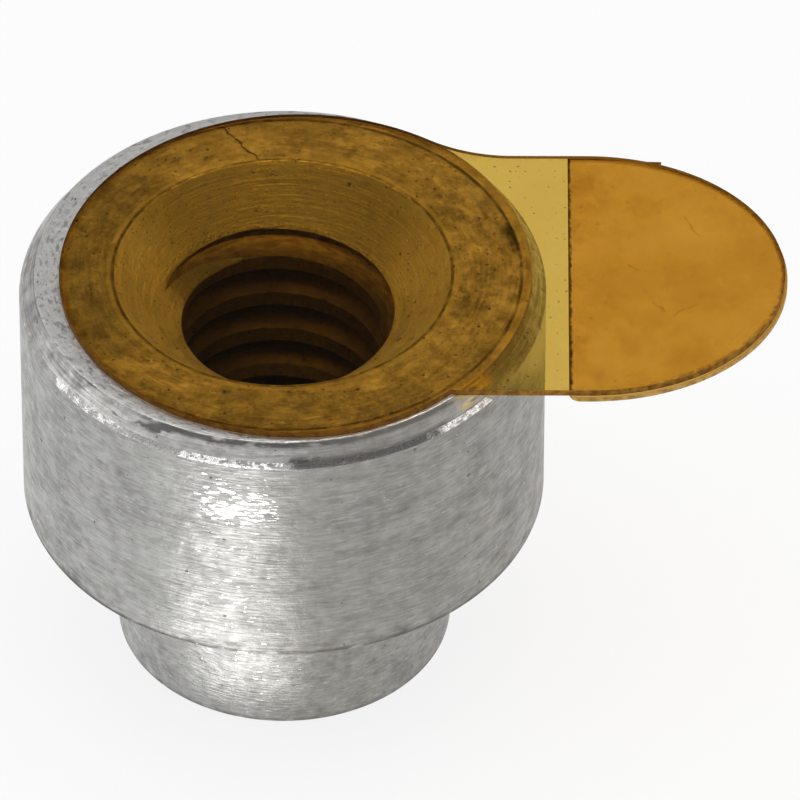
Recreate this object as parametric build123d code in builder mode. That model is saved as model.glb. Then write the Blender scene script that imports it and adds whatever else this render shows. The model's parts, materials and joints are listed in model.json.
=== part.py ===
"""Threaded spacer for surface mounting, with its pick-up film.

A turned spacer stands on a circuit board and gives it a screw thread. Its spigot
drops into a hole in the board, its shoulder is soldered to the ring of copper
around that hole, and a screw passes up or down its axis. A film of polyimide
closes the mouth, so that a vacuum nozzle can lift the spacer, and a pull tab
takes the film off after soldering.

Frame: millimetres, +Z up along the thread's axis. The origin is on that axis in
the plane of the shoulder, so the board's upper face is Z = 0. The pull tab points
along +X.
"""

import os

from build123d import *

# ---------------------------------------------------------------- driving sizes
# Turned body
BODY_DIA = 4.35
BODY_HEIGHT = 2.3           # from the board's face to the flat top
TOP_CHAMFER_WIDTH = 0.12    # taken off the flat top, all round
TOP_CHAMFER_DEPTH = 0.18    # and down the side, so steeper than 45 degrees
EDGE_BREAK = 0.04           # on the shoulder's rim and the spigot's end

# Spigot that drops into the board
SPIGOT_DIA = 2.8
SPIGOT_LENGTH = 1.5

# Bore, plain at the crests of its M2 x 0.4 thread, and open at both ends
THREAD_CREST_DIA = 1.67
MOUTH_DIA = 2.78            # countersink in the flat top
MOUTH_ANGLE = 90
LOWER_MOUTH_CHAMFER = 0.16  # leads a screw in from the spigot's end

# Pick-up film: a disc on the flat top, a neck and a rounded tab
FILM_THICKNESS = 0.06       # film and its glue
FILM_MARGIN = 0.085         # bare ring of the flat top, were the disc centred on it
FILM_SLIP = (0.13, -0.03)   # how far off the axis the film was laid down
NECK_WIDTH = 2.9
NECK_FILLET = 1.3           # the die rounds only the +Y corner of disc and neck
TAB_OVERHANG = 1.965        # from the body's side to the tab's tip
TAB_END_LENGTH = 1.62       # length of the tab's rounded, slightly oval end

# Cover film, laminated under the tab so that its glue doesn't stick
COVER_THICKNESS = 0.045
COVER_CLEARANCE = 0.175     # from the body's side to the cover's straight edge
COVER_PROUD = 0.02          # how far the cover shows past the tab, all round its end

# ------------------------------------------------------------- dependent places
body_radius = BODY_DIA / 2
flat_radius = body_radius - TOP_CHAMFER_WIDTH
disc_radius = flat_radius - FILM_MARGIN
disc_x, film_y = FILM_SLIP
tip_x = body_radius + TAB_OVERHANG
end_x = tip_x - TAB_END_LENGTH          # where the tab's straight sides stop
cover_x = body_radius + COVER_CLEARANCE

film_plane = Plane.XY.offset(BODY_HEIGHT)


def tab_outline(proud=0.0):
    """Add neck and oval tab to the open sketch, wider all round by proud."""
    with Locations(((disc_x + end_x) / 2, film_y)):
        Rectangle(end_x - disc_x, NECK_WIDTH + 2 * proud)
    with Locations((end_x, film_y)):
        Ellipse(TAB_END_LENGTH + proud, NECK_WIDTH / 2 + proud)


# ------------------------------------------------------------------ turned body
with BuildPart() as spacer_body:
    # Barrel above the board, spigot below it: the step between them is the seat
    with BuildSketch():
        Circle(body_radius)
    extrude(amount=BODY_HEIGHT)
    with BuildSketch():
        Circle(SPIGOT_DIA / 2)
    extrude(amount=-SPIGOT_LENGTH)

    # The barrel's rims and the spigot's end, each the outer circle of its level
    circles = spacer_body.edges().filter_by(GeomType.CIRCLE)
    top_rim = circles.group_by(Axis.Z)[-1]
    shoulder_rim = circles.filter_by_position(Axis.Z, 0, 0).sort_by(SortBy.RADIUS)[-1]
    spigot_rim = circles.group_by(Axis.Z)[0]
    flat_top = spacer_body.faces().sort_by(Axis.Z)[-1]
    chamfer(top_rim, TOP_CHAMFER_WIDTH, TOP_CHAMFER_DEPTH, reference=flat_top)
    chamfer([shoulder_rim] + spigot_rim, EDGE_BREAK)

    # Through bore with its countersunk mouth, drilled down from the flat top
    with Locations((0, 0, BODY_HEIGHT)):
        CounterSinkHole(
            radius=THREAD_CREST_DIA / 2,
            counter_sink_radius=MOUTH_DIA / 2,
            counter_sink_angle=MOUTH_ANGLE,
        )
    lower_face = spacer_body.faces().sort_by(Axis.Z)[0]
    lower_mouth = lower_face.inner_wires()[0].edges()
    chamfer(lower_mouth, LOWER_MOUTH_CHAMFER)

# ----------------------------------------------------------------- pick-up film
with BuildPart() as pick_up_film:
    with BuildSketch(film_plane) as film_outline:
        with Locations((disc_x, film_y)):
            Circle(disc_radius)
        tab_outline()
        back_corners = film_outline.vertices().group_by(Axis.Y)[-1]
        fillet(back_corners.sort_by(Axis.X)[0], NECK_FILLET)
    extrude(amount=FILM_THICKNESS)

# ------------------------------------------------------------------- cover film
with BuildPart() as tab_cover:
    with BuildSketch(film_plane):
        tab_outline(COVER_PROUD)
        split(bisect_by=Plane.YZ.offset(cover_x), keep=Keep.TOP)
    extrude(amount=-COVER_THICKNESS)

# ----------------------------------------------------------------------- export
spacer_body.part.label = "spacer_body"
pick_up_film.part.label = "pick_up_film"
tab_cover.part.label = "tab_cover"

os.makedirs("parts", exist_ok=True)
export_step(spacer_body.part, "parts/spacer_body.step")
export_step(pick_up_film.part, "parts/pick_up_film.step")
export_step(tab_cover.part, "parts/tab_cover.step")
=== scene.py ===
# %% [markdown]
# # A threaded spacer under its pick-up film
#
# The object is a turned, tin-plated spacer that is soldered to a circuit board. An
# amber polyimide film closes its mouth, so that a vacuum nozzle can lift it, and a
# pull tab takes the film off again. This lesson dresses the plain model of it: the
# body gets its screw thread, the films their glassy amber, and each surface its wear.
#
# The plain model comes first and gives every place and outer size. Blender measures
# in metres and the part is a few millimetres long, so sizes are written in
# millimetres here and multiplied by MM where a mesh is finished.

# %% Load the plain model
import json
import math

import bmesh
import bpy
from mathutils import Matrix, Vector

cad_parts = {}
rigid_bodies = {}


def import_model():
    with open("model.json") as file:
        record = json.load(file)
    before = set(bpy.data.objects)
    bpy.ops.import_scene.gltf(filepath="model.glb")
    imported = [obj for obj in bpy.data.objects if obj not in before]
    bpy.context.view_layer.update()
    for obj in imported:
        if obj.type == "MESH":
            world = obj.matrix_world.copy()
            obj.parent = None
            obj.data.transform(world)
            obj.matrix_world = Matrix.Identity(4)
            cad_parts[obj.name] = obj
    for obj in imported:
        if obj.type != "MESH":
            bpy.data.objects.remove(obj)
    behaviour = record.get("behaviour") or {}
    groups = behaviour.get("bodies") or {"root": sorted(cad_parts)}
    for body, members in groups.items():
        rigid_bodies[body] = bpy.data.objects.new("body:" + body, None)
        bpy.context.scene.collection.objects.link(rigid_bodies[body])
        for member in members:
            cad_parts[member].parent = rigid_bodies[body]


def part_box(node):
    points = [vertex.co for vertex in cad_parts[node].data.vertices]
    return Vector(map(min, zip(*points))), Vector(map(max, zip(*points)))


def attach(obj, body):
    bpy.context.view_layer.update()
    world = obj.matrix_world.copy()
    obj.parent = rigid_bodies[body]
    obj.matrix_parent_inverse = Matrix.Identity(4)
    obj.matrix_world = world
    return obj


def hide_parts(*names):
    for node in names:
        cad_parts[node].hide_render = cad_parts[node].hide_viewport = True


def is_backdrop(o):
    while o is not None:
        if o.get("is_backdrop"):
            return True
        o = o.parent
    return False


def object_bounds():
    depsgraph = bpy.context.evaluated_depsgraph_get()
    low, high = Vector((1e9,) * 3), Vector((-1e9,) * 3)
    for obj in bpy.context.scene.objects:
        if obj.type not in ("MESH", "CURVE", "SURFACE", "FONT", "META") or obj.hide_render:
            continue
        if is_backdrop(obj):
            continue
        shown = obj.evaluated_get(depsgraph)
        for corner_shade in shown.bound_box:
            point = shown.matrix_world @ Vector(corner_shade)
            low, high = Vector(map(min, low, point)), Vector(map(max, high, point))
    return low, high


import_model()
MM = 0.001
cad_low, cad_high = (corner_shade.copy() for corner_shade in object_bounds())
body_low, body_high = (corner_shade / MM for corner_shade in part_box("spacer_body"))
film_low, film_high = (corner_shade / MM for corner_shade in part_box("pick_up_film"))
cover_low, cover_high = (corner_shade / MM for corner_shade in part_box("tab_cover"))
print("body", tuple(body_low), tuple(body_high))
print("film", tuple(film_low), tuple(film_high))

# %% Sizes of the turned body; the plain model gives the outer ones
TOP_CHAMFER_WIDTH = 0.12
TOP_CHAMFER_DEPTH = 0.18
EDGE_BREAK = 0.04
SPIGOT_RADIUS = 1.4
CREST_RADIUS = 0.835
MOUTH_RADIUS = 1.39
LOWER_MOUTH_CHAMFER = 0.16

body_radius = body_high.x
body_top = body_high.z
spigot_bottom = body_low.z
flat_radius = body_radius - TOP_CHAMFER_WIDTH
chamfer_foot = body_top - TOP_CHAMFER_DEPTH
cone_foot = body_top - (MOUTH_RADIUS - CREST_RADIUS)

# %% Sizes of the screw thread
PITCH = 0.4
MAJOR_RADIUS = 1.0
HALF_FLANK_ANGLE = math.radians(30)
TURNS = 10
GROOVE_START = -1.845
ROOT_FLAT = 0.07
root_half = ROOT_FLAT / 2

# %% Sizes of the films; their disc lies a little off centre
FILM_SLIP = (0.13, -0.03)
DISC_RADIUS = 1.97
GLUE_CENTRE = (0.057, -0.015, 0.0)
GLUE_RADIUS = 1.914
NECK_WIDTH = 2.9
NECK_FILLET = 1.3
TAB_END_LENGTH = 1.62
COVER_PROUD = 0.02

disc_x, film_y = FILM_SLIP
disc_centre = (disc_x, film_y, 0.0)
end_x = film_high.x - TAB_END_LENGTH
half_neck = NECK_WIDTH / 2
cover_x = cover_low.x

# %% [markdown]
# ## Camera
#
# A tiny part is photographed from far away with a long lens, which shows its circles as
# nearly perfect ellipses. An orthographic camera would be simpler, but it loses the
# last trace of depth between the near and the far rim. So this is a real lens, placed
# so that the rims fit. Near and far clipping must shrink with the object, or the
# camera cuts it away.

# %% A long lens from the front, well above the part
VIEW_ELEVATION = math.radians(42.33)
VIEW_DISTANCE = 98.82
CAMERA_ROLL = math.radians(0.18)
LENS = 534.5
AIM = Vector((0.971, 0.0, 0.9))

towards_camera = Vector((0, -math.cos(VIEW_ELEVATION), math.sin(VIEW_ELEVATION)))
camera_data = bpy.data.cameras.new("camera")
camera_data.lens = LENS
camera_data.clip_start = 0.001
camera_data.clip_end = 10
camera = bpy.data.objects.new("camera", camera_data)
camera.location = (AIM + towards_camera * VIEW_DISTANCE) * MM
tilted = Matrix.Rotation(math.pi / 2 - VIEW_ELEVATION, 3, "X")
rolled = Matrix.Rotation(CAMERA_ROLL, 3, "Z")
camera.rotation_euler = (tilted @ rolled).to_euler()
scene = bpy.context.scene
scene.collection.objects.link(camera)
scene.camera = camera
scene.view_settings.view_transform = "Standard"
print("camera at", tuple(camera.location))

# %% [markdown]
# ## Building blocks for nodes
#
# Materials are graphs of small nodes. They could be clicked together in the editor,
# but a script can be read and repeated. A few helpers keep the graphs readable: one
# adds a node and fills its sockets, either with a number or with a link from another
# node, some make the sums and blends that come up again and again, and one starts a
# reusable group with named sockets.

# %% Helpers for node graphs
def add(tree, kind, inputs=None, **settings):
    """A new shader node; inputs maps socket names or numbers to values or sockets."""
    node = tree.nodes.new("ShaderNode" + kind)
    for name, value in settings.items():
        setattr(node, name, value)
    for name, value in (inputs or {}).items():
        if isinstance(value, bpy.types.NodeSocket):
            tree.links.new(value, node.inputs[name])
        else:
            node.inputs[name].default_value = value
    return node


def calc(tree, operation, *values, clamp=False):
    """The result socket of a Math node."""
    inputs = dict(enumerate(values))
    return add(tree, "Math", inputs, operation=operation, use_clamp=clamp).outputs[0]


def times(tree, *values):
    """The product of the values."""
    product = values[0]
    for value in values[1:]:
        product = calc(tree, "MULTIPLY", product, value)
    return product


def vector(tree, operation, *values):
    """The result socket of a Vector Math node."""
    node = add(tree, "VectorMath", dict(enumerate(values)), operation=operation)
    gives_number = operation in ("LENGTH", "DISTANCE", "DOT_PRODUCT")
    return node.outputs["Value" if gives_number else "Vector"]


def axes(tree, position):
    """The sockets X, Y and Z of a position."""
    return add(tree, "SeparateXYZ", {0: position}).outputs


def fade(tree, value, start, end, low=0.0, high=1.0):
    """value remapped smoothly from start..end to low..high."""
    inputs = {"Value": value, "From Min": start, "From Max": end, "To Min": low, "To Max": high}
    return add(tree, "MapRange", inputs, interpolation_type="SMOOTHSTEP").outputs[0]


def blend(tree, factor, first, second):
    """first where factor is 0, second where it is 1; both are colours."""
    node = add(tree, "Mix", data_type="RGBA")
    for name, value in (("Factor_Float", factor), ("A_Color", first), ("B_Color", second)):
        socket = next(s for s in node.inputs if s.identifier == name)
        if isinstance(value, bpy.types.NodeSocket):
            tree.links.new(value, socket)
        else:
            socket.default_value = value
    return next(s for s in node.outputs if s.identifier == "Result_Color")


def start_group(name, inputs):
    """A node group with one Value output; inputs maps socket names to defaults."""
    tree = bpy.data.node_groups.new(name, "ShaderNodeTree")
    for label, default in inputs.items():
        kind = "NodeSocketFloat" if isinstance(default, float) else "NodeSocketVector"
        socket = tree.interface.new_socket(label, in_out="INPUT", socket_type=kind)
        socket.default_value = default
    tree.interface.new_socket("Value", in_out="OUTPUT", socket_type="NodeSocketFloat")
    return tree, tree.nodes.new("NodeGroupInput").outputs, tree.nodes.new("NodeGroupOutput").inputs


def use(tree, group, position, **values):
    """The Value of a group placed in tree; keyword Lines_Per_Mm sets "Lines Per Mm"."""
    node = tree.nodes.new("ShaderNodeGroup")
    node.node_tree = group
    tree.links.new(position, node.inputs["Position"])
    for name, value in values.items():
        node.inputs[name.replace("_", " ")].default_value = value
    return node.outputs["Value"]


# %% [markdown]
# ## Effects that several materials share
#
# The same marks come back all over a worn part: rings from the lathe, clouds of dull
# plating, pits and dust, rims of dirt, scratches; some rims also carry painted shade and
# a painted highlight. Each could be painted into every material again, but a node group
# is written once and used with other numbers. Lathe Lines feeds a noise with the
# direction around the axis, the height and the radius, and stretches it, so that one
# effect runs round a wall, a flat, a chamfer and a cone alike. Every group gives only a
# number from 0 to 1, and the material says what that number does.

# %% Lathe Lines
lathe_lines, given, result = start_group(
    "Lathe Lines", {"Position": (0.0, 0.0, 0.0), "Around": 6.0, "Lines Per Mm": 25.0}
)
parts = axes(lathe_lines, given["Position"])
flat = add(lathe_lines, "CombineXYZ", {"X": parts["X"], "Y": parts["Y"]}).outputs[0]
heading = vector(lathe_lines, "NORMALIZE", flat)
radius = vector(lathe_lines, "LENGTH", flat)
turned = add(
    lathe_lines, "VectorMath", {0: heading, "Scale": given["Around"]}, operation="SCALE"
).outputs[0]
height = times(lathe_lines, parts["Z"], given["Lines Per Mm"])
lifted = add(lathe_lines, "CombineXYZ", {"Z": height}).outputs[0]
place = vector(lathe_lines, "ADD", turned, lifted)
depth = times(lathe_lines, radius, given["Lines Per Mm"])
grain = add(
    lathe_lines,
    "TexNoise",
    {"Vector": place, "W": depth, "Scale": 1.0, "Detail": 3.0},
    noise_dimensions="4D",
)
lathe_lines.links.new(grain.outputs["Fac"], result["Value"])

# %% Patches
patches, given, result = start_group(
    "Patches", {"Position": (0.0, 0.0, 0.0), "Size Mm": 0.3, "Low": 0.4, "High": 0.6}
)
cloud = add(
    patches,
    "TexNoise",
    {
        "Vector": given["Position"],
        "Scale": calc(patches, "DIVIDE", 1.0, given["Size Mm"]),
        "Detail": 5.0,
        "Roughness": 0.6,
    },
)
cloud_value = fade(patches, cloud.outputs["Fac"], given["Low"], given["High"])
patches.links.new(cloud_value, result["Value"])

# %% Specks: a round dot in some cells of a grid of scattered points
def specks_group(name, dimensions):
    """A group that dots a solid (3D), or a level sheet more densely (2D)."""
    group, given, result = start_group(
        name, {"Position": (0.0, 0.0, 0.0), "Spacing Mm": 0.08, "Empty": 0.5}
    )
    per_mm = calc(group, "DIVIDE", 1.0, given["Spacing Mm"])
    cells = add(
        group,
        "TexVoronoi",
        {"Vector": given["Position"], "Scale": per_mm},
        voronoi_dimensions=dimensions,
    )
    luck = add(group, "SeparateColor", {0: cells.outputs["Color"]}).outputs
    dot_size = calc(group, "MULTIPLY_ADD", calc(group, "POWER", luck["Red"], 3.0), 0.1, 0.04)
    blurred = times(group, dot_size, 1.6)
    dot = fade(group, cells.outputs["Distance"], dot_size, blurred, 1.0, 0.0)
    present = calc(group, "GREATER_THAN", luck["Green"], given["Empty"])
    group.links.new(times(group, dot, present), result["Value"])
    return group


specks = specks_group("Specks", "3D")
level_specks = specks_group("Level Specks", "2D")

# %% Ring
LEVEL_PART = (1.0, 1.0, 0.0)  # times this, a position loses its height
ring, given, result = start_group(
    "Ring",
    {
        "Position": (0.0, 0.0, 0.0),
        "Centre": (0.0, 0.0, 0.0),
        "Radius": 1.0,
        "Width": 0.02,
        "Softness": 0.01,
    },
)
offset = vector(ring, "SUBTRACT", given["Position"], given["Centre"])
level = vector(ring, "MULTIPLY", offset, LEVEL_PART)
reach = vector(ring, "LENGTH", level)
miss = calc(ring, "ABSOLUTE", calc(ring, "SUBTRACT", reach, given["Radius"]))
half_width = times(ring, given["Width"], 0.5)
outer = calc(ring, "ADD", half_width, given["Softness"])
ring.links.new(fade(ring, miss, half_width, outer, 1.0, 0.0), result["Value"])

# %% Facing: 1 on the side that looks one way, seen from the axis
facing, given, result = start_group(
    "Facing",
    {"Position": (0.0, 0.0, 0.0), "Towards": (0.0, -1.0, 0.0), "Outer": 0.5, "Inner": 0.9},
)
level = vector(facing, "MULTIPLY", given["Position"], LEVEL_PART)
heading = vector(facing, "NORMALIZE", level)
turn = vector(facing, "DOT_PRODUCT", heading, given["Towards"])
facing.links.new(fade(facing, turn, given["Outer"], given["Inner"]), result["Value"])

# %% Thread Edge: height above the upper flank of the thread's last turn
thread_edge, given, result = start_group("Thread Edge", {"Position": (0.0, 0.0, 0.0)})
parts = axes(thread_edge, given["Position"])
turn = calc(thread_edge, "ARCTAN2", parts["Y"], parts["X"])
last_turn = GROOVE_START + PITCH * (TURNS - 1)
rise = calc(thread_edge, "MULTIPLY_ADD", turn, PITCH / (2 * math.pi), last_turn + root_half)
squares = times(thread_edge, parts["X"], parts["X"])
squares = calc(thread_edge, "MULTIPLY_ADD", parts["Y"], parts["Y"], squares)
inward = calc(thread_edge, "SUBTRACT", MAJOR_RADIUS, calc(thread_edge, "SQRT", squares))
flank = calc(thread_edge, "MULTIPLY_ADD", inward, math.tan(HALF_FLANK_ANGLE), rise)
above = calc(thread_edge, "SUBTRACT", parts["Z"], flank)
thread_edge.links.new(above, result["Value"])

# %% Hairs: thin curling lines, where a noise crosses its middle value
hairs, given, result = start_group(
    "Hairs", {"Position": (0.0, 0.0, 0.0), "Per Mm": 1.5, "Thickness": 0.01}
)
wave = add(
    hairs, "TexNoise", {"Vector": given["Position"], "Scale": given["Per Mm"], "Detail": 1.0}
)
miss = calc(hairs, "ABSOLUTE", calc(hairs, "SUBTRACT", wave.outputs["Fac"], 0.5))
hairs.links.new(fade(hairs, miss, 0.0, given["Thickness"], 1.0, 0.0), result["Value"])

# %% Scratch: a wavering line from one point to another
scratch, given, result = start_group(
    "Scratch",
    {"Position": (0.0, 0.0, 0.0), "Start": (0.0, 0.0, 0.0), "End": (1.0, 0.0, 0.0), "Width": 0.01},
)
waver = add(scratch, "TexNoise", {"Vector": given["Position"], "Scale": 9.0, "Detail": 3.0})
waver = vector(scratch, "SUBTRACT", waver.outputs["Color"], (0.5, 0.5, 0.5))
waver = vector(scratch, "MULTIPLY", waver, (0.12, 0.12, 0.0))
point = vector(scratch, "ADD", given["Position"], waver)
from_start = vector(scratch, "SUBTRACT", point, given["Start"])
run = vector(scratch, "SUBTRACT", given["End"], given["Start"])
along = vector(scratch, "DOT_PRODUCT", from_start, run)
squared = vector(scratch, "DOT_PRODUCT", run, run)
share = calc(scratch, "DIVIDE", along, squared, clamp=True)
nearest = add(scratch, "VectorMath", {0: run, "Scale": share}, operation="SCALE").outputs[0]
aside = vector(scratch, "DISTANCE", from_start, nearest)
scratch.links.new(fade(scratch, aside, 0.0, given["Width"], 1.0, 0.0), result["Value"])


def one_side(tree, position, azimuth, half, soft):
    """1 within half degrees of an azimuth; 0 is in front and 90 on the right."""
    a = math.radians(azimuth)
    return use(
        tree,
        facing,
        position,
        Towards=(math.sin(a), -math.cos(a), 0.0),
        Outer=math.cos(math.radians(half + soft)),
        Inner=math.cos(math.radians(half)),
    )


def streaky(tree, position, around, lines_per_mm, start, end):
    """A mask of streaks that run round the axis."""
    lines = use(tree, lathe_lines, position, Around=around, Lines_Per_Mm=lines_per_mm)
    return fade(tree, lines, start, end)


print("node groups:", [group.name for group in bpy.data.node_groups])

# %% [markdown]
# ## Tinned metal
#
# Tin plating over turned steel is never one grey. Lines run round it, stains follow
# the lines and small flat spots shine where it was rubbed. Shade in corners, in the bore
# and on some sides is painted into the colour as well.
# Picture textures would need an unwrapped body and blur at this scale. Noise in object
# coordinates stays sharp and needs no seams. One recipe mixes it for every metal
# surface, and each surface sets how light, how lined and how dull it is. Extra marks
# are added to the graph afterwards.

# %% A recipe for tinned metal
# The first dark tint darkens real dirt and painted shade alike; the dark warm grey last paints
# shade on the part's right side.
SOOT_AND_SHADE = (0.06, 0.055, 0.05, 1)
BURNISHED = (0.55, 0.55, 0.54, 1)
WARM_SIDE_SHADE = (0.22, 0.205, 0.175, 1)


def start_material(name):
    """A new material: its tree, its Principled shader and positions in millimetres."""
    material = bpy.data.materials.new(name)
    material.use_nodes = True
    tree = material.node_tree
    shader = tree.nodes["Principled BSDF"]
    where = add(tree, "TexCoord").outputs["Object"]
    in_mm = add(tree, "Mapping", {"Vector": where, "Scale": (1 / MM,) * 3}).outputs[0]
    return material, tree, shader, in_mm


def weigh(tree, *pairs):
    """The sum of value times weight over the pairs."""
    total = times(tree, *pairs[0])
    for value, weight in pairs[1:]:
        total = calc(tree, "MULTIPLY_ADD", value, weight, total)
    return total


def darken(tree, colour, mask, amount, tint=SOOT_AND_SHADE):
    """colour, pulled towards tint by mask times amount."""
    return blend(tree, calc(tree, "MULTIPLY", mask, amount, clamp=True), colour, tint)


def emboss(tree, shader, height, depth_mm):
    """Bend the shader's normal as if height, from 0 to 1, stood out by depth_mm."""
    bump = add(tree, "Bump", {"Height": height, "Distance": depth_mm * MM, "Strength": 1.0})
    tree.links.new(bump.outputs[0], shader.inputs["Normal"])


def tinned(
    name,
    light,
    dark,
    lines_per_mm,
    relief_mm,
    rough,
    glints,
    weights=(0.3, 0.3, 0.3, 0.2),
    drawn=1.0,
    lined=1.0,
    shine=BURNISHED,
):
    """Tin plating; rough is the dull and the bright roughness, glints how rare the shiny
    dashes are, weights the shares of clouds, stains, hair lines and mottling, drawn how
    far the turning lines are drawn out and lined how deep they are."""
    material, tree, shader, position = start_material(name)
    rings = use(tree, lathe_lines, position, Around=5.0 / drawn, Lines_Per_Mm=lines_per_mm)
    hair = use(tree, lathe_lines, position, Around=14.0 / drawn, Lines_Per_Mm=2.4 * lines_per_mm)
    stains = use(tree, lathe_lines, position, Around=20.0, Lines_Per_Mm=11.0)
    clouds = use(tree, patches, position, Size_Mm=0.35, Low=0.35, High=0.65)
    mottle = use(tree, patches, position, Size_Mm=0.1, Low=0.34, High=0.66)
    grime = use(tree, lathe_lines, position, Around=15.0, Lines_Per_Mm=8.0)
    pits = use(tree, specks, position, Spacing_Mm=0.11, Empty=0.6)
    dashes = use(tree, lathe_lines, position, Around=30.0, Lines_Per_Mm=44.0)
    burnished = fade(tree, dashes, glints, glints + 0.05)

    shade = weigh(
        tree,
        (clouds, weights[0]),
        (fade(tree, stains, 0.35, 0.65), weights[1]),
        (fade(tree, hair, 0.3, 0.7), weights[2]),
        (mottle, weights[3]),
    )
    colour = blend(tree, shade, dark, light)
    colour = darken(tree, colour, fade(tree, grime, 0.58, 0.75), 0.3)
    colour = darken(tree, colour, pits, 0.7)
    colour = blend(tree, burnished, colour, shine)
    tree.links.new(colour, shader.inputs["Base Color"])
    shader.inputs["Metallic"].default_value = 1.0
    dullness = fade(tree, shade, 0.2, 0.8, rough[0], rough[1])
    dullness = fade(tree, burnished, 0.0, 1.0, dullness, 0.12)
    tree.links.new(dullness, shader.inputs["Roughness"])

    relief = weigh(
        tree,
        (rings, lined),
        (hair, 0.5 * lined),
        (stains, 0.4 * lined),
        (clouds, 0.3),
        (mottle, 0.35),
        (pits, -0.6),
    )
    emboss(tree, shader, relief, relief_mm)
    return material, tree, shader, position, colour, dullness, relief


def repaint(tree, shader, colour=None, dullness=None):
    """Set the shader's colour and roughness again after more marks were mixed in."""
    if colour is not None:
        tree.links.new(colour, shader.inputs["Base Color"])
    if dullness is not None:
        tree.links.new(dullness, shader.inputs["Roughness"])


# %% The outside, with painted shade in the corner under the wide part and on its right side
tin_outside, tree, shader, position, colour, dullness, relief = tinned(
    "tin_outside",
    (0.51, 0.507, 0.491, 1),
    (0.24, 0.237, 0.227, 1),
    22.0,
    0.008,
    (0.5, 0.36),
    0.66,
    weights=(0.26, 0.16, 0.4, 0.2),
    lined=0.75,
)
parts = axes(tree, position)
ragged = use(tree, lathe_lines, position, Around=12.0, Lines_Per_Mm=12.0)
# Painted shade: the corner under the wide part, the wall's lower rim and the spigot's foot are
# darkened where shade falls, broken up by a ragged mask.
across = vector(tree, "LENGTH", vector(tree, "MULTIPLY", position, LEVEL_PART))
in_corner = fade(tree, across, SPIGOT_RADIUS + 0.08, SPIGOT_RADIUS + 0.2, 1.0, 0.0)
on_rim = fade(tree, across, body_radius - 0.12, body_radius - 0.05)
corner_shade = fade(tree, calc(tree, "ABSOLUTE", parts["Z"]), 0.055, 0.09, 1.0, 0.0)
corner_shade = times(tree, corner_shade, calc(tree, "ADD", in_corner, on_rim, clamp=True))
foot = fade(tree, parts["Z"], spigot_bottom + 0.05, spigot_bottom + 0.09, 1.0, 0.0)
corner_shade = calc(tree, "MULTIPLY_ADD", foot, 0.6, corner_shade, clamp=True)
corner_shade = times(tree, corner_shade, fade(tree, ragged, 0.34, 0.5))
colour = darken(tree, colour, corner_shade, 0.75)
smudges = streaky(tree, position, 9.0, 7.0, 0.5, 0.62)
near_seat = fade(tree, calc(tree, "ABSOLUTE", parts["Z"]), 0.06, 0.24, 1.0, 0.0)
smudges = times(tree, smudges, near_seat)
colour = darken(tree, colour, smudges, 0.55)
# Painted shade: the right side is made warmer and darker.
warm_side_shade = times(tree, one_side(tree, position, 64, 50, 42), 0.46)
colour = blend(tree, warm_side_shade, colour, WARM_SIDE_SHADE)
grime = streaky(tree, position, 7.0, 6.0, 0.5, 0.66)
grime = times(tree, grime, one_side(tree, position, 48, 40, 20))
colour = darken(tree, colour, grime, 0.2)
wiped = streaky(tree, position, 15.0, 40.0, 0.54, 0.7)
colour = blend(tree, times(tree, wiped, 0.16), colour, (0.75, 0.75, 0.73, 1))
# Painted light: a lighter diagonal patch on the wall below the tab.
lit_patch = calc(tree, "MULTIPLY_ADD", parts["Z"], 1.1, parts["Y"])
lit_patch = times(
    tree,
    fade(tree, lit_patch, 1.04, 1.5),
    fade(tree, parts["X"], 1.3, 1.7),
    fade(tree, parts["Z"], 1.2, 1.9),
)
colour = blend(tree, times(tree, lit_patch, 0.55), colour, (0.9, 0.88, 0.86, 1))

# %% Polished streaks on the outside, where it was rubbed most
streaks = use(tree, lathe_lines, position, Around=26.0, Lines_Per_Mm=34.0)
rubbed = one_side(tree, position, -10, 5, 8)
high = times(tree, fade(tree, parts["Z"], 1.35, 1.55), fade(tree, parts["Z"], 1.95, 1.8))
rubbed = times(tree, rubbed, calc(tree, "MAXIMUM", high, 0.5))
polished = fade(tree, calc(tree, "MULTIPLY_ADD", rubbed, 0.26, streaks), 0.78, 0.8)
colour = blend(tree, polished, colour, (0.95, 0.95, 0.93, 1))
dullness = fade(tree, polished, 0.0, 1.0, dullness, 0.15)
repaint(tree, shader, colour, dullness)
worn = use(tree, lathe_lines, position, Around=12.0, Lines_Per_Mm=48.0)
worn = times(tree, worn, one_side(tree, position, -14, 12, 16))
scratched = calc(tree, "MULTIPLY_ADD", worn, 1.6, relief)
emboss(tree, shader, scratched, 0.006)

# %% The chamfer: painted shade at its upper edge and on its sides, a painted dark reflection low in front, scuffed in front, burred along its foot
tin_chamfer, tree, shader, position, colour, dullness, relief = tinned(
    "tin_chamfer",
    (0.74, 0.73, 0.71, 1),
    (0.27, 0.26, 0.25, 1),
    24.0,
    0.006,
    (0.5, 0.34),
    0.64,
    weights=(0.2, 0.3, 0.5, 0.2),
    drawn=2.0,
)
height = axes(tree, position)["Z"]
climb = fade(tree, height, chamfer_foot, body_top)
ragged = streaky(tree, position, 16.0, 20.0, 0.3, 0.52)
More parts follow.
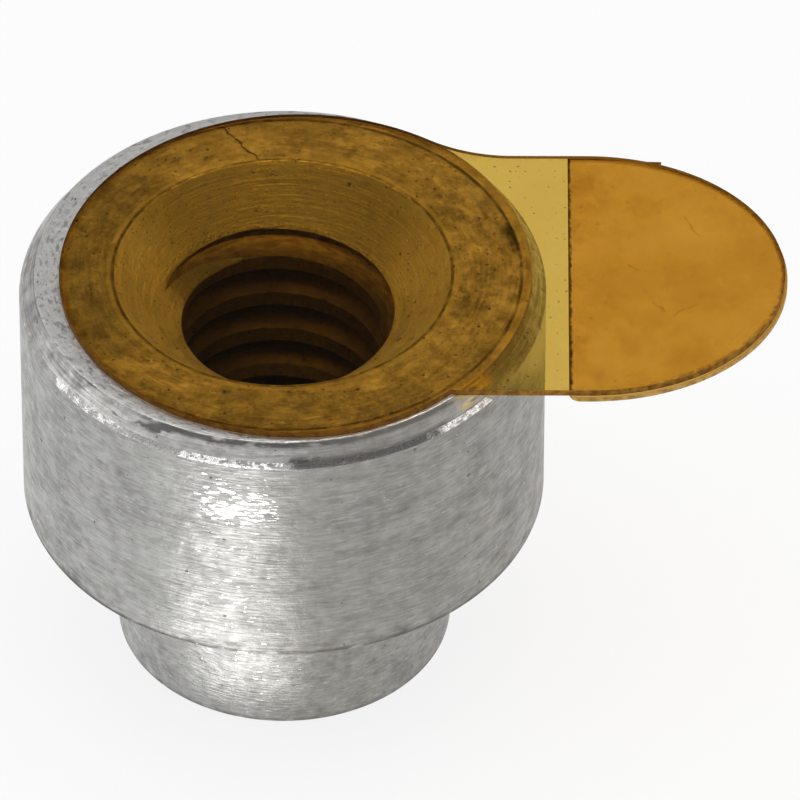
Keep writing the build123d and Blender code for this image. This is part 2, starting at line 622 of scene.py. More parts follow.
# Painted shade along the upper edge in front and a painted dark reflection low at the front right;
# the smears between them are dirt.
upper = times(tree, fade(tree, climb, 0.8, 0.95), one_side(tree, position, 8, 34, 12))
smears = streaky(tree, position, 7.0, 13.0, 0.52, 0.6)
smears = times(tree, smears, fade(tree, climb, 0.35, 0.6))
smears = times(tree, smears, one_side(tree, position, -20, 25, 15))
lower = times(tree, fade(tree, climb, 0.45, 0.1), one_side(tree, position, 22, 16, 5))
scuff = times(tree, fade(tree, climb, 0.6, 0.1), one_side(tree, position, 4.8, 2, 2.6))
torn = use(tree, patches, position, Size_Mm=0.1, Low=0.36, High=0.52)
scuff = times(tree, scuff, torn)
dirt_and_shade = calc(tree, "ADD", calc(tree, "ADD", upper, lower), smears, clamp=True)
colour = darken(tree, colour, times(tree, dirt_and_shade, ragged), 0.8)
colour = darken(tree, colour, scuff, 0.85)
# Painted shade on the left side.
colour = darken(tree, colour, one_side(tree, position, -95, 18, 12), 0.42)
# Painted warm shade on the right side.
warm_side_shade = times(tree, one_side(tree, position, 42, 25, 20), 0.55)
colour = blend(tree, warm_side_shade, colour, WARM_SIDE_SHADE)
glue_smear = times(tree, one_side(tree, position, 49, 3, 4), ragged)
glue_smear = times(tree, glue_smear, fade(tree, climb, 0.1, 0.5))
colour = blend(tree, times(tree, glue_smear, 0.85), colour, (0.75, 0.58, 0.22, 1))
repaint(tree, shader, colour)

# %% The burr along the chamfer's foot: torn into bright beads
tin_burr, tree, shader, position, colour, dullness, relief = tinned(
    "tin_burr", (0.52, 0.51, 0.49, 1), (0.34, 0.33, 0.31, 1), 20.0, 0.004, (0.45, 0.35), 0.62
)
beads = streaky(tree, position, 26.0, 16.0, 0.46, 0.56)
crumbs = use(tree, patches, position, Size_Mm=0.045, Low=0.4, High=0.56)
left = times(tree, one_side(tree, position, -11, 9, 4), 1.25)
far_left = times(tree, one_side(tree, position, -47, 10, 5), 0.8)
right = times(tree, one_side(tree, position, 43, 7, 5), 0.85)
scarred = calc(tree, "ADD", calc(tree, "ADD", left, far_left), right)
bright = times(tree, weigh(tree, (beads, 0.6), (crumbs, 0.6)), scarred)
bright = fade(tree, bright, 0.34, 0.6)
colour = blend(tree, bright, colour, (1, 0.99, 0.97, 1))
# A painted dark reflection on the burr at the front right.
dark_reflection_band = one_side(tree, position, 20, 16, 3)
colour = darken(tree, colour, dark_reflection_band, 0.75)
dullness = fade(tree, bright, 0.0, 1.0, dullness, 0.13)
repaint(tree, shader, colour, dullness)
rough_bump = calc(tree, "MULTIPLY_ADD", times(tree, beads, crumbs), 2.0, relief)
emboss(tree, shader, rough_bump, 0.006)

# %% The flat top: bare outside the film
tin_flat, tree, shader, position, bare, dullness, relief = tinned(
    "tin_flat", (0.76, 0.75, 0.73, 1), (0.42, 0.41, 0.39, 1), 18.0, 0.004, (0.5, 0.36), 0.68
)
smut = use(tree, specks, position, Spacing_Mm=0.05, Empty=0.5)
near_film = use(
    tree, ring, position, Centre=disc_centre, Radius=DISC_RADIUS, Width=0.03, Softness=0.06
)
bare = darken(tree, bare, times(tree, smut, near_film), 0.8)
scuffed = use(tree, lathe_lines, position, Around=24.0, Lines_Per_Mm=30.0)
bare = darken(tree, bare, fade(tree, scuffed, 0.54, 0.64), 0.45)

# %% The flat under the film: wetted by glue in blotches and sweeps
blotches = use(tree, patches, position, Size_Mm=0.24, Low=0.4, High=0.62)
grains = use(tree, patches, position, Size_Mm=0.05, Low=0.34, High=0.7)
sweep = streaky(tree, position, 9.0, 9.0, 0.36, 0.64)
fine = streaky(tree, position, 7.0, 36.0, 0.3, 0.7)
wet = weigh(tree, (blotches, 0.3), (grains, 0.35), (sweep, 0.25), (fine, 0.25))
wet = calc(tree, "MULTIPLY_ADD", one_side(tree, position, 180, 25, 25), 0.3, wet, clamp=True)
glued = blend(tree, wet, (0.31, 0.3, 0.32, 1), (1, 1, 1, 1))
crumbs = use(tree, specks, position, Spacing_Mm=0.09, Empty=0.55)
glued = darken(tree, glued, crumbs, 0.75)
# Painted shade on the left side.
glued = darken(tree, glued, one_side(tree, position, -95, 25, 30), 0.32)
cut_line = use(
    tree,
    scratch,
    position,
    Start=(-0.22, 1.42, body_top),
    End=(-0.52, 1.8, body_top),
    Width=0.018,
)
glued = darken(tree, glued, cut_line, 0.85)
dark_spot = use(
    tree,
    scratch,
    position,
    Start=(1.86, 0.55, body_top),
    End=(1.95, 0.3, body_top),
    Width=0.1,
)
glued = darken(tree, glued, dark_spot, 0.85)

# %% Rims of the glue and of the mouth, with painted shade and highlight at the mouth, and the loose strip outside the glue
under_film = use(
    tree, ring, position, Centre=disc_centre, Radius=0.0, Width=2 * DISC_RADIUS, Softness=0.004
)
under_glue = use(
    tree, ring, position, Centre=GLUE_CENTRE, Radius=0.0, Width=2 * GLUE_RADIUS, Softness=0.02
)
glue_rim = use(
    tree, ring, position, Centre=GLUE_CENTRE, Radius=GLUE_RADIUS, Width=0.01, Softness=0.018
)
# Painted shade and highlight at the mouth: a dark line on its rim and a light ring just outside it.
mouth_rim_shade = use(
    tree, ring, position, Centre=(0.0, 0.0, 0.0), Radius=MOUTH_RADIUS, Width=0.03, Softness=0.02
)
mouth_rim_highlight = use(
    tree,
    ring,
    position,
    Centre=(0.0, 0.0, 0.0),
    Radius=MOUTH_RADIUS + 0.045,
    Width=0.02,
    Softness=0.02,
)
broken = use(tree, lathe_lines, position, Around=14.0, Lines_Per_Mm=14.0)
broken = fade(tree, broken, 0.36, 0.56, 0.4, 1.0)
loose = blend(tree, wet, (0.55, 0.52, 0.46, 1), (1, 0.97, 0.9, 1))
covered = blend(tree, under_glue, loose, glued)
covered = darken(tree, covered, times(tree, glue_rim, broken), 0.7)
covered = blend(tree, times(tree, mouth_rim_highlight, 0.35), covered, (0.97, 0.95, 0.8, 1))
covered = darken(tree, covered, times(tree, mouth_rim_shade, broken), 0.62)
repaint(tree, shader, blend(tree, under_film, bare, covered))

# %% The countersink, cut by a smooth tool, its tin painted near white to make up for the light the film takes away, with a bright lip where the thread breaks in
tin_cone_lightened, tree, shader, position, colour, dullness, relief = tinned(
    "tin_cone_lightened",
    (1, 1, 1, 1),
    (0.8, 0.79, 0.78, 1),
    24.0,
    0.008,
    (0.62, 0.42),
    0.62,
    weights=(0.3, 0.1, 0.55, 0.2),
    drawn=4.0,
    shine=(1, 1, 0.97, 1),
)
above = use(tree, thread_edge, position)
lip = times(tree, fade(tree, above, 0.06, 0.02), fade(tree, above, -0.005, 0.0))
chips = streaky(tree, position, 30.0, 20.0, 0.42, 0.58)
lip = times(tree, lip, chips)
colour = blend(tree, lip, colour, (1, 0.98, 0.9, 1))
dullness = fade(tree, lip, 0.0, 1.0, dullness, 0.3)
# Painted shade below the thread's edge on the back left, and across the back of the cone.
below = times(tree, fade(tree, above, -0.01, -0.04), one_side(tree, position, -142, 26, 20))
colour = darken(tree, colour, below, 0.6)
colour = darken(tree, colour, one_side(tree, position, 180, 35, 45), 0.56)
repaint(tree, shader, colour, dullness)
crumbs = use(tree, patches, position, Size_Mm=0.022, Low=0.4, High=0.6)
torn_edge = calc(tree, "MULTIPLY_ADD", times(tree, lip, crumbs), 0.7, relief)
emboss(tree, shader, torn_edge, 0.008)

# %% The thread: its tin painted dark brown for the shade in the bore, darker in its groove, and lighter at the open end
def show_foot(tree, shader, height, colour):
    """Set the colour; near the spigot's open end the bore's painted shade gives way to lighter tin.
    """
    near_foot = fade(tree, height, spigot_bottom + 0.6, spigot_bottom + 0.2)
    repaint(tree, shader, blend(tree, near_foot, colour, (0.5, 0.48, 0.44, 1)))


tin_thread_shaded, tree, shader, position, colour, dullness, relief = tinned(
    "tin_thread_shaded", (0.46, 0.36, 0.24, 1), (0.26, 0.2, 0.13, 1), 20.0, 0.003, (0.5, 0.4), 0.9
)
height = axes(tree, position)["Z"]
show_foot(tree, shader, height, colour)
tin_groove_shaded, tree, shader, position, colour, dullness, relief = tinned(
    "tin_groove_shaded", (0.18, 0.135, 0.09, 1), (0.09, 0.068, 0.045, 1), 26.0, 0.005, (0.5, 0.4), 0.9
)
height = axes(tree, position)["Z"]
# Painted shade: the groove is less dark near the mouth, and one band on each turn is darkened
# further.
near_mouth = fade(tree, height, cone_foot - 0.3, cone_foot - 0.05)
within_turn = add(
    tree, "Math", {0: use(tree, thread_edge, position), 1: PITCH, 2: 0.0}, operation="WRAP"
).outputs[0]
shaded_band = fade(tree, within_turn, PITCH - ROOT_FLAT, PITCH / 3)
shaded_band = times(tree, shaded_band, fade(tree, within_turn, 0.05, 0.09))
bare = streaky(tree, position, 8.0, 30.0, 0.35, 0.65)
at_mouth = blend(tree, bare, (0.16, 0.13, 0.1, 1), (0.3, 0.25, 0.2, 1))
at_mouth = blend(tree, times(tree, shaded_band, 0.85), at_mouth, (0.055, 0.047, 0.038, 1))
colour = darken(tree, colour, shaded_band, 0.6)
colour = blend(tree, near_mouth, colour, at_mouth)
show_foot(tree, shader, height, colour)
print("metals:", [m.name for m in bpy.data.materials if m.name.startswith("tin_")])

# %% [markdown]
# ## Turned body
#
# A lathe makes this shape by turning. It could be stacked from cylinders and cones, but
# each joint between them would need mending. Blender's Spin works as the lathe does:
# half a cross section, drawn as a closed loop of corners, is carried once around the
# axis. The corners are bevelled while they are still a flat outline, which rounds every
# rim at once, and the loop is divided into short steps to keep the faces even.

# %% Turn a mesh into an object
RIM_ROUNDING = 0.012
STEP_LENGTH = 0.05
SEGMENTS = 256


def finish_object(name, bm, materials, smooth_angle=25):
    """An object named name from the mesh in bm, which is in millimetres."""
    bmesh.ops.remove_doubles(bm, verts=bm.verts, dist=1e-5)
    bmesh.ops.recalc_face_normals(bm, faces=bm.faces)
    bmesh.ops.scale(bm, vec=(MM,) * 3, verts=bm.verts)
    mesh = bpy.data.meshes.new(name)
    bm.to_mesh(mesh)
    bm.free()
    mesh.shade_smooth()
    mesh.set_sharp_from_angle(angle=math.radians(smooth_angle))
    for material in materials:
        mesh.materials.append(material)
    piece = bpy.data.objects.new(name, mesh)
    scene.collection.objects.link(piece)
    print(name, len(mesh.polygons), "faces")
    return piece


def draw_loop(bm, corners):
    """The vertices of a closed loop, from corners given as radius and height."""
    loop = [bm.verts.new((r, 0, z)) for r, z in corners]
    for here, there in zip(loop, loop[1:] + loop[:1]):
        bm.edges.new((here, there))
    return loop


# %% The cross section, from the countersink's foot outwards and round
corners = [
    (CREST_RADIUS, cone_foot),
    (MOUTH_RADIUS, body_top),
    (flat_radius, body_top),
    (body_radius, chamfer_foot),
    (body_radius, EDGE_BREAK),
    (body_radius - EDGE_BREAK, 0.0),
    (SPIGOT_RADIUS, 0.0),
    (SPIGOT_RADIUS, spigot_bottom + EDGE_BREAK),
    (SPIGOT_RADIUS - EDGE_BREAK, spigot_bottom),
    (CREST_RADIUS + LOWER_MOUTH_CHAMFER, spigot_bottom),
    (CREST_RADIUS, spigot_bottom + LOWER_MOUTH_CHAMFER),
]
body_mesh = bmesh.new()
bmesh.ops.bevel(
    body_mesh,
    geom=draw_loop(body_mesh, corners),
    offset=RIM_ROUNDING,
    offset_type="OFFSET",
    segments=3,
    profile=0.5,
    affect="VERTICES",
    material=-1,
)
for edge in list(body_mesh.edges):
    is_bore = all(abs(v.co.x - CREST_RADIUS) < 0.001 for v in edge.verts)
    cuts = 0 if is_bore else round(edge.calc_length() / STEP_LENGTH)
    if cuts:
        bmesh.ops.subdivide_edges(body_mesh, edges=[edge], cuts=cuts)
print("cross section:", len(body_mesh.verts), "points")

# %% Spin it once around the axis
bmesh.ops.spin(
    body_mesh,
    geom=body_mesh.verts[:] + body_mesh.edges[:],
    cent=(0, 0, 0),
    axis=(0, 0, 1),
    angle=2 * math.pi,
    steps=SEGMENTS,
    use_merge=True,
)
OUTSIDE, CHAMFER, BURR, FLAT, CONE, THREAD = range(6)
LEVEL = 0.003
BURR_REACH = 0.034
for face in body_mesh.faces:
    middle = face.calc_center_median()
    reach = middle.xy.length
    if middle.z > body_top - LEVEL:
        face.material_index = FLAT
    elif reach < MOUTH_RADIUS and middle.z > cone_foot:
        face.material_index = CONE
    elif reach < CREST_RADIUS + LOWER_MOUTH_CHAMFER and middle.z > spigot_bottom + LEVEL:
        face.material_index = THREAD
    elif math.hypot(reach - body_radius, middle.z - chamfer_foot) < BURR_REACH:
        face.material_index = BURR
    elif middle.z > chamfer_foot:
        face.material_index = CHAMFER
    else:
        face.material_index = OUTSIDE

body = finish_object(
    "turned_body",
    body_mesh,
    [tin_outside, tin_chamfer, tin_burr, tin_flat, tin_cone_lightened, tin_thread_shaded],
)

# %% [markdown]
# ## Screw thread
#
# A tap cuts the thread as a helical groove in the bored hole. A Screw modifier could
# grow the thread as a strip of its own, but its ends would have to be sewn to the body
# by hand. So the groove is a solid here: one tooth of the tap, a cut-off triangle, is
# swept up a helix by Spin with a small lift at each step, and a Boolean takes it away
# from the body. The tap also runs through the countersink, which gives the uneven lip
# at its foot.

# %% The tap's tooth and its path
STEPS_PER_TURN = 128
TOOTH_OVERLAP = 0.03

tooth_inner = CREST_RADIUS - TOOTH_OVERLAP
mouth_half = root_half + (MAJOR_RADIUS - tooth_inner) * math.tan(HALF_FLANK_ANGLE)
tooth = [
    (tooth_inner, GROOVE_START - mouth_half),
    (MAJOR_RADIUS, GROOVE_START - root_half),
    (MAJOR_RADIUS, GROOVE_START + root_half),
    (tooth_inner, GROOVE_START + mouth_half),
]
tap_mesh = bmesh.new()
draw_loop(tap_mesh, tooth)
bmesh.ops.spin(
    tap_mesh,
    geom=tap_mesh.verts[:] + tap_mesh.edges[:],
    cent=(0, 0, 0),
    axis=(0, 0, 1),
    dvec=(0, 0, PITCH / STEPS_PER_TURN),
    angle=2 * math.pi * TURNS,
    steps=TURNS * STEPS_PER_TURN,
)
bmesh.ops.holes_fill(tap_mesh, edges=tap_mesh.edges, sides=4)
tap = finish_object("tap", tap_mesh, [tin_groove_shaded])

# %% Cut the groove
cut = body.modifiers.new("thread", "BOOLEAN")
cut.operation = "DIFFERENCE"
cut.object = tap
cut.solver = "EXACT"
cut.material_mode = "TRANSFER"
depsgraph = bpy.context.evaluated_depsgraph_get()
threaded_mesh = bpy.data.meshes.new_from_object(body.evaluated_get(depsgraph))
body.modifiers.clear()
body.data = threaded_mesh
threaded_mesh.set_sharp_from_angle(angle=math.radians(25))
bpy.data.objects.remove(tap)
print("threaded body:", len(threaded_mesh.polygons), "faces")
print("its materials:", [m.name for m in threaded_mesh.materials])

# %% [markdown]
# ## Amber film
#
# Polyimide film is a clear amber sheet that is glued to the metal, and metal seen
# through it turns golden brown. It could be faked by painting the metal brown, but then
# the tab, which hangs free, would not show the white table through it. So the shader is
# glass with a colour. Glass alone would throw a black shadow on the metal below it,
# because a straight shadow ray can't pass through it. Light Path picks out those rays
# and lets them through with a tint.

# %% A recipe for amber film
def amber(name, clear, cloudy, marks, shadow_tint):
    """Clear amber film; marks(tree, position) lists masks of darker places and their tints."""
    material, tree, shader, position = start_material(name)
    clouds = use(tree, patches, position, Size_Mm=0.6, Low=0.3, High=0.7)
    colour = blend(tree, clouds, clear, cloudy)
    for mask, tint in marks(tree, position):
        colour = blend(tree, mask, colour, tint)
    tree.links.new(colour, shader.inputs["Base Color"])
    shader.inputs["Roughness"].default_value = 0.03
    shader.inputs["IOR"].default_value = 1.45
    shader.inputs["Transmission Weight"].default_value = 1.0
    waves = add(tree, "TexNoise", {"Vector": position, "Scale": 2.0, "Detail": 3.0})
    emboss(tree, shader, waves.outputs["Fac"], 0.001)

    is_shadow = add(tree, "LightPath").outputs["Is Shadow Ray"]
    let_through = add(tree, "BsdfTransparent", {"Color": shadow_tint})
    mixed = add(
        tree, "MixShader", {0: is_shadow, 1: shader.outputs[0], 2: let_through.outputs[0]}
    )
    tree.links.new(mixed.outputs[0], tree.nodes["Material Output"].inputs["Surface"])
    return material


# %% Marks on the film and on the cover
MOTE_BROWN = (0.12, 0.06, 0.015, 1)
SHORT_SCRATCHES = [
    ((3.33, 0.64), (3.43, 0.45)),
    ((3.04, -0.4), (3.15, -0.51)),
    ((3.21, -0.58), (3.36, -0.45)),
    ((2.85, 0.07), (2.94, -0.01)),
]


def beyond_tab(tree, position):
    """0 in the middle of the tab and 1 on the film's outline, over the rounded end."""
    parts = axes(tree, position)
    across = calc(tree, "DIVIDE", calc(tree, "SUBTRACT", parts["Y"], film_y), half_neck)
    outwards = calc(tree, "DIVIDE", calc(tree, "SUBTRACT", parts["X"], end_x), TAB_END_LENGTH)
    outwards = calc(tree, "MAXIMUM", outwards, 0.0)
    squares = times(tree, across, across)
    return calc(tree, "MULTIPLY_ADD", outwards, outwards, squares)


def film_marks(tree, position):
    """Motes in flocks, hair scratches on the tab, a warmer band along the disc's edge."""
    along = axes(tree, position)["X"]
    glow = use(
        tree, ring, position, Centre=disc_centre, Radius=DISC_RADIUS, Width=0.06, Softness=0.05
    )
    glow = times(tree, glow, fade(tree, along, 1.1, 1.5, 1.0, 0.0))
    motes = use(tree, level_specks, position, Spacing_Mm=0.045, Empty=0.6)
    flocks = use(tree, patches, position, Size_Mm=0.25, Low=0.56, High=0.66)
    strays = use(tree, level_specks, position, Spacing_Mm=0.065, Empty=0.7)
    top = film_high.z
    scrape = use(
        tree, scratch, position, Start=(2.17, 0.13, top), End=(2.46, 0.07, top), Width=0.05
    )
    grit = use(tree, level_specks, position, Spacing_Mm=0.035, Empty=0.4)
    strays = times(tree, strays, fade(tree, along, cover_x, cover_x + 0.1, 0.9, 0.45))
    motes = weigh(tree, (times(tree, motes, flocks), 0.6), (strays, 1.0))
    motes = calc(tree, "MULTIPLY_ADD", grit, scrape, motes, clamp=True)
    height = axes(tree, position)["Z"]
    motes = times(tree, motes, fade(tree, height, top - 0.02, top - 0.01))
    nicks = [
        use(tree, scratch, position, Start=(*start, top), End=(*end, top), Width=0.014)
        for start, end in SHORT_SCRATCHES
    ]
    nicks = weigh(tree, *((nick, 1.0) for nick in nicks))
    curls = use(tree, hairs, position, Per_Mm=1.6, Thickness=0.008)
    here_and_there = use(tree, patches, position, Size_Mm=0.5, Low=0.54, High=0.62)
    curls = times(tree, curls, here_and_there, fade(tree, along, cover_x, cover_x + 0.1))
    torn = use(tree, patches, position, Size_Mm=0.06, Low=0.38, High=0.58)
    rim = times(tree, fade(tree, beyond_tab(tree, position), 0.94, 0.98), torn)
    rim = times(tree, rim, fade(tree, along, end_x + 0.2, end_x + 0.9, 0.2, 0.75))
    return [
        (glow, (0.57, 0.34, 0.04, 1)),
        (rim, (0.16, 0.08, 0.02, 1)),
        (times(tree, curls, 0.45), (0.34, 0.18, 0.03, 1)),
        (times(tree, nicks, 0.7), (0.3, 0.15, 0.02, 1)),
        (motes, MOTE_BROWN),
    ]


def cover_marks(tree, position):
    """Dirt along the straight edge, a smear beside it, a browner rim outside the film."""
    parts = axes(tree, position)
    ragged = use(tree, patches, position, Size_Mm=0.05, Low=0.3, High=0.7)
    line = calc(tree, "MULTIPLY_ADD", ragged, -0.022, parts["X"])
    line = fade(tree, line, cover_x + 0.006, cover_x + 0.026, 1.0, 0.0)
    line = times(tree, line, fade(tree, ragged, 0.0, 1.0, 0.8, 1.0))
    smear = fade(tree, parts["X"], cover_x, cover_x + 0.6, 1.0, 0.0)
    smear = times(tree, smear, use(tree, patches, position, Size_Mm=0.5, Low=0.48, High=0.7))
    stains = use(tree, patches, position, Size_Mm=0.35, Low=0.5, High=0.75)
    rim = fade(tree, beyond_tab(tree, position), 0.96, 1.0)
    return [
        (times(tree, stains, 0.5), (0.76, 0.49, 0.2, 1)),
        (smear, (0.7, 0.43, 0.18, 1)),
        (rim, (0.42, 0.22, 0.03, 1)),
        (line, (0.09, 0.05, 0.02, 1)),
    ]


film_amber = amber(
    "film_amber",
    (0.65, 0.44, 0.086, 1),
    (0.62, 0.41, 0.074, 1),
    film_marks,
    (0.99, 0.93, 1, 1),
)
cover_amber = amber(
    "cover_amber",
    (0.95, 0.68, 0.37, 1),
    (0.83, 0.56, 0.27, 1),
    cover_marks,
    (0.95, 0.85, 0.6, 1),
)

# %% Cut edges, brown and rough from the die
def cut_edge(name, dark, light):
    """The stained edge that a die leaves on film."""
    material, tree, shader, position = start_material(name)
    stain = use(tree, patches, position, Size_Mm=0.07, Low=0.36, High=0.62)
    crumbs = use(tree, specks, position, Spacing_Mm=0.04, Empty=0.4)
    colour = blend(tree, stain, dark, light)
    colour = darken(tree, colour, crumbs, 0.85, (0.02, 0.012, 0.006, 1))
    parts = axes(tree, position)
    at_back = fade(tree, parts["Y"], -0.4, 0.6, 0.0, 0.9)
    at_back = times(tree, at_back, fade(tree, parts["X"], 0.8, 1.6))
    colour = blend(tree, at_back, colour, (0.55, 0.36, 0.13, 1))
    tree.links.new(colour, shader.inputs["Base Color"])
    shader.inputs["Roughness"].default_value = 0.55
    shader.inputs["Specular IOR Level"].default_value = 0.1
    return material, tree, shader, position, colour


film_edge, tree, shader, position, colour = cut_edge(
    "film_edge", (0.16, 0.065, 0.006, 1), (0.34, 0.16, 0.02, 1)
)
parts = axes(tree, position)
# Painted shade: over the disc the cut edge is darkened further, for the shade in the gap under it.
edge_shade_on_disc = fade(tree, parts["X"], 1.0, 2.0, 0.6, 0.0)
repaint(tree, shader, darken(tree, colour, edge_shade_on_disc, 1.0, (0.06, 0.02, 0.001, 1)))
cover_edge, *_ = cut_edge("cover_edge", (0.36, 0.2, 0.05, 1), (0.6, 0.36, 0.1, 1))
print("films:", [m.name for m in (film_amber, film_edge, cover_amber, cover_edge)])

# %% [markdown]
# ## Film and cover as solids
#
# The film is a disc with a tongue, and a second film is glued under the tongue to
# stiffen it. Both are cut flat by a die. A plane with a Solidify modifier would do, but
# here the cut edge needs a material of its own, so each starts as one flat face drawn
# with arcs and straight lines, and Extrude gives it its thickness. A hair of air is
# left below the film: where two faces share one plane, Blender can't tell which is on
# top.

# %% Arcs and plates
AIR_GAP = 0.002
ARC_STEP = math.radians(1.5)


def arc(centre, radii, start, end):
    """Points along an arc or a quarter of an ellipse, from angle start to end."""
    steps = max(2, round(abs(end - start) / ARC_STEP))
    angles = [start + (end - start) * i / steps for i in range(steps + 1)]
    return [
        (centre[0] + radii[0] * math.cos(a), centre[1] + radii[1] * math.sin(a))
        for a in angles
    ]


def plate(name, points, bottom, thickness, materials):
    """A flat plate with the outline points; material 1 goes on its cut edge."""
    bm = bmesh.new()
    rim = [bm.verts.new((x, y, bottom)) for x, y in points]
    base = bm.faces.new(rim)
    lifted = bmesh.ops.extrude_face_region(bm, geom=[base], use_keep_orig=True)
    raised = [item for item in lifted["geom"] if isinstance(item, bmesh.types.BMVert)]
    bmesh.ops.translate(bm, vec=(0, 0, thickness), verts=raised)
    bm.normal_update()
    for face in bm.faces:
        face.material_index = 1 if abs(face.normal.z) < 0.5 else 0
    return finish_object(name, bm, materials)


# %% The film's outline: disc, sharp front corner, tab, rounded back corner
half_turn = math.pi / 2
front_corner = -math.asin(half_neck / DISC_RADIUS)
fillet_y = film_y + half_neck + NECK_FILLET
fillet_rise = math.asin((half_neck + NECK_FILLET) / (DISC_RADIUS + NECK_FILLET))
fillet_x = disc_x + (DISC_RADIUS + NECK_FILLET) * math.cos(fillet_rise)
CORNER_TRIM = 0.06
TRIM_ANGLE = math.radians(28)
disc_edge = []
for x, y in arc((disc_x, film_y), (DISC_RADIUS,) * 2, fillet_rise, 2 * math.pi + front_corner):
    from_corner = 2 * math.pi + front_corner - math.atan2(y - film_y, x - disc_x) % (2 * math.pi)
    trim = 1 - CORNER_TRIM / DISC_RADIUS * max(0.0, 1 - from_corner / TRIM_ANGLE)
    disc_edge.append((disc_x + (x - disc_x) * trim, film_y + (y - film_y) * trim))
disc_edge[-1] = (disc_edge[-1][0], film_y - half_neck)
film_outline = (
    arc((end_x, film_y), (TAB_END_LENGTH, half_neck), -half_turn, half_turn)
    + arc((fillet_x, fillet_y), (NECK_FILLET, NECK_FILLET), -half_turn, fillet_rise - math.pi)
    + disc_edge
)
film_thickness = film_high.z - film_low.z
film = plate(
    "film", film_outline, film_low.z + AIR_GAP, film_thickness - AIR_GAP, [film_amber, film_edge]
)

# %% The cover under the tab
cover_end = (TAB_END_LENGTH + COVER_PROUD, half_neck + COVER_PROUD)
SEAM_SKEW = 0.01
CORNER_ROUND = 0.09
NIB = (3.14, 1.415)
corner_y = film_y - half_neck - COVER_PROUD + CORNER_ROUND
nib_turn = math.acos((NIB[0] - end_x) / cover_end[0])
cover_outline = (
    arc((end_x, film_y), cover_end, -half_turn, nib_turn)
    + [NIB]
    + [(cover_x + SEAM_SKEW, film_y + half_neck + COVER_PROUD)]
    + arc((cover_x + CORNER_ROUND, corner_y), (CORNER_ROUND,) * 2, math.pi, 1.5 * math.pi)
)
cover_thickness = cover_high.z - cover_low.z
cover = plate("cover", cover_outline, cover_low.z, cover_thickness, [cover_amber, cover_edge])

# %% [markdown]
# ## Studio
#
# Bare metal shows its surroundings, so the surroundings are built with care. A single
# sun would leave it black with one white spot. Instead the part stands in an even grey
# tent, with a wide lamp above, a strip in front, one lamp at each side and a small
# card low in front that lights the wall from below. The camera sees the tent as white,
# and so does a ray that goes straight through the film. Two dark patches in the tent
# keep its reflection off the film and out of the cone. The floor glows a little to
# the camera, to mirrors and to glass, so that it looks white and still takes the
# part's shadow, but not right below the bore, where no light gets in.

# %% Floor
FLOOR_SIZE = 600
UNDER_PART = 0.86
floor_material, tree, shader, position = start_material("floor_white")
shader.inputs["Base Color"].default_value = (0.8, 0.8, 0.8, 1)
shader.inputs["Roughness"].default_value = 0.9
path = add(tree, "LightPath").outputs
seen = calc(tree, "ADD", path["Is Camera Ray"], path["Is Glossy Ray"])
seen = calc(tree, "ADD", seen, path["Is Transmission Ray"], clamp=True)
under = use(
    tree, ring, position, Centre=(0.0, 0.0, 0.0), Radius=0.0, Width=2 * UNDER_PART, Softness=0.1
)
seen = times(tree, seen, calc(tree, "SUBTRACT", 0.85, times(tree, under, 0.85)))
glow = add(tree, "Emission", {"Color": (1, 1, 1, 1), "Strength": 1.0})
bright = add(
    tree, "MixShader", {0: seen, 1: shader.outputs[0], 2: glow.outputs[0]}
)
clear = add(tree, "BsdfTransparent")
one_sided = add(
    tree,
    "MixShader",
    {0: add(tree, "NewGeometry").outputs["Backfacing"], 1: bright.outputs[0], 2: clear.outputs[0]},
)
tree.links.new(one_sided.outputs[0], tree.nodes["Material Output"].inputs["Surface"])

floor_mesh = bmesh.new()
bmesh.ops.create_grid(
    floor_mesh,
    x_segments=1,
    y_segments=1,
    size=FLOOR_SIZE / 2,
    matrix=Matrix.Translation((0, 0, spigot_bottom)),
)
floor = finish_object("floor", floor_mesh, [floor_material])
floor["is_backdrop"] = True

# %% World: an even grey tent with two dark patches
world = bpy.data.worlds.new("studio")
world.use_nodes = True
scene.world = world
tree = world.node_tree
sky = tree.nodes["Background"]
sky.inputs["Color"].default_value = (1, 1, 1, 1)
direction = add(tree, "TexCoord").outputs["Generated"]
TENT_LEVEL = 0.64


def black_flag(level, elevation, outer, inner, left_over):
    """Darken the sky round a point in front (or behind, above 90 degrees) of the part."""
    e = math.radians(elevation)
    aim = (0.0, -math.cos(e), math.sin(e))
    near = add(tree, "VectorMath", {0: direction, 1: aim}, operation="DOT_PRODUCT").outputs["Value"]
    cosines = (math.cos(math.radians(outer)), math.cos(math.radians(inner)))
    return times(tree, level, fade(tree, near, *cosines, 1.0, left_over))


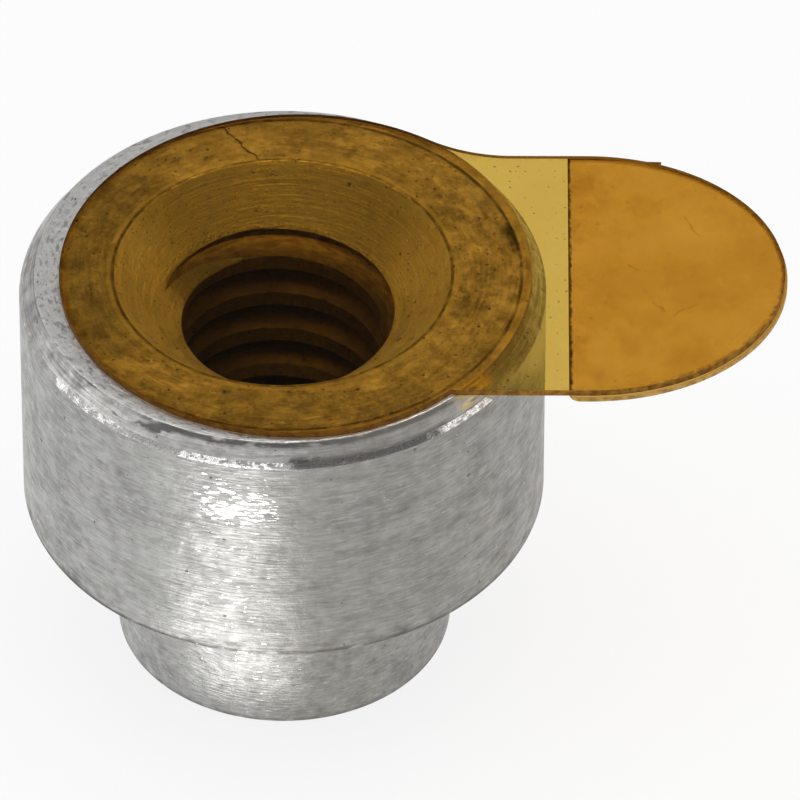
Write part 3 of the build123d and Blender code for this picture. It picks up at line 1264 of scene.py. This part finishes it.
level = black_flag(TENT_LEVEL, 44, 18, 7, 0.02)
level = black_flag(level, 180 - 42.33, 13, 8, 0.06)
tree.links.new(level, sky.inputs["Strength"])
path = add(tree, "LightPath").outputs
backdrop = add(tree, "Background", {"Color": (1, 1, 1, 1), "Strength": 1.0})
straight = calc(tree, "LESS_THAN", path["Glossy Depth"], 0.5)
shown = calc(tree, "MULTIPLY_ADD", path["Is Transmission Ray"], straight, path["Is Camera Ray"])
both = add(tree, "MixShader", {0: shown, 1: sky.outputs[0], 2: backdrop.outputs[0]})
tree.links.new(both.outputs[0], tree.nodes["World Output"].inputs["Surface"])


# %% Lamps
def soft_lamp(name, azimuth, elevation, distance, width, height, radiance, colour=(1, 1, 1)):
    """A flat lamp that faces the part; azimuth 0 is in front and 90 on the right."""
    data = bpy.data.lights.new(name, "AREA")
    data.shape = "RECTANGLE"
    data.size, data.size_y = width * MM, height * MM
    data.energy = radiance * math.pi * data.size * data.size_y
    data.color = colour
    lamp = bpy.data.objects.new(name, data)
    a, e = math.radians(azimuth), math.radians(elevation)
    away = Vector((math.sin(a) * math.cos(e), -math.cos(a) * math.cos(e), math.sin(e)))
    lamp.location = away * distance * MM
    lamp.rotation_euler = away.to_track_quat("Z", "Y").to_euler()
    lamp.visible_camera = False
    scene.collection.objects.link(lamp)
    return lamp


soft_lamp("top", 0, 90, 220, 205, 205, 2.0)
soft_lamp("front_strip", -22, 2, 220, 170, 20, 2.05)
soft_lamp("side_left", -78, 4, 220, 130, 40, 1.5)
soft_lamp("side_right", 86, 4, 220, 110, 40, 1.0, (1, 0.93, 0.85))

# %% A small white card that lies in front of the part and lights its wall from below
CARD_AZIMUTH = math.radians(-17)
CARD_REACH = 4.35
card = soft_lamp("low_card", 0, 90, 1, 2.0, 5.2, 2.15)
card.location = (
    CARD_REACH * MM * math.sin(CARD_AZIMUTH),
    -CARD_REACH * MM * math.cos(CARD_AZIMUTH),
    (spigot_bottom + 0.05) * MM,
)
card.rotation_euler = (math.pi, 0, CARD_AZIMUTH)
print("lamps:", [lamp.name for lamp in bpy.data.lights])

# %% [markdown]
# ## Hand over
#
# Every piece is tied to the plain model's one body, and the plain solid that it
# stands for is hidden.

# %% Tie the pieces to the plain model
for piece, node, finish in (
    (body, "spacer_body", "tinned_steel"),
    (film, "pick_up_film", "polyimide_film"),
    (cover, "tab_cover", "polyimide_cover"),
):
    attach(piece, "root")
    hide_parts(node)
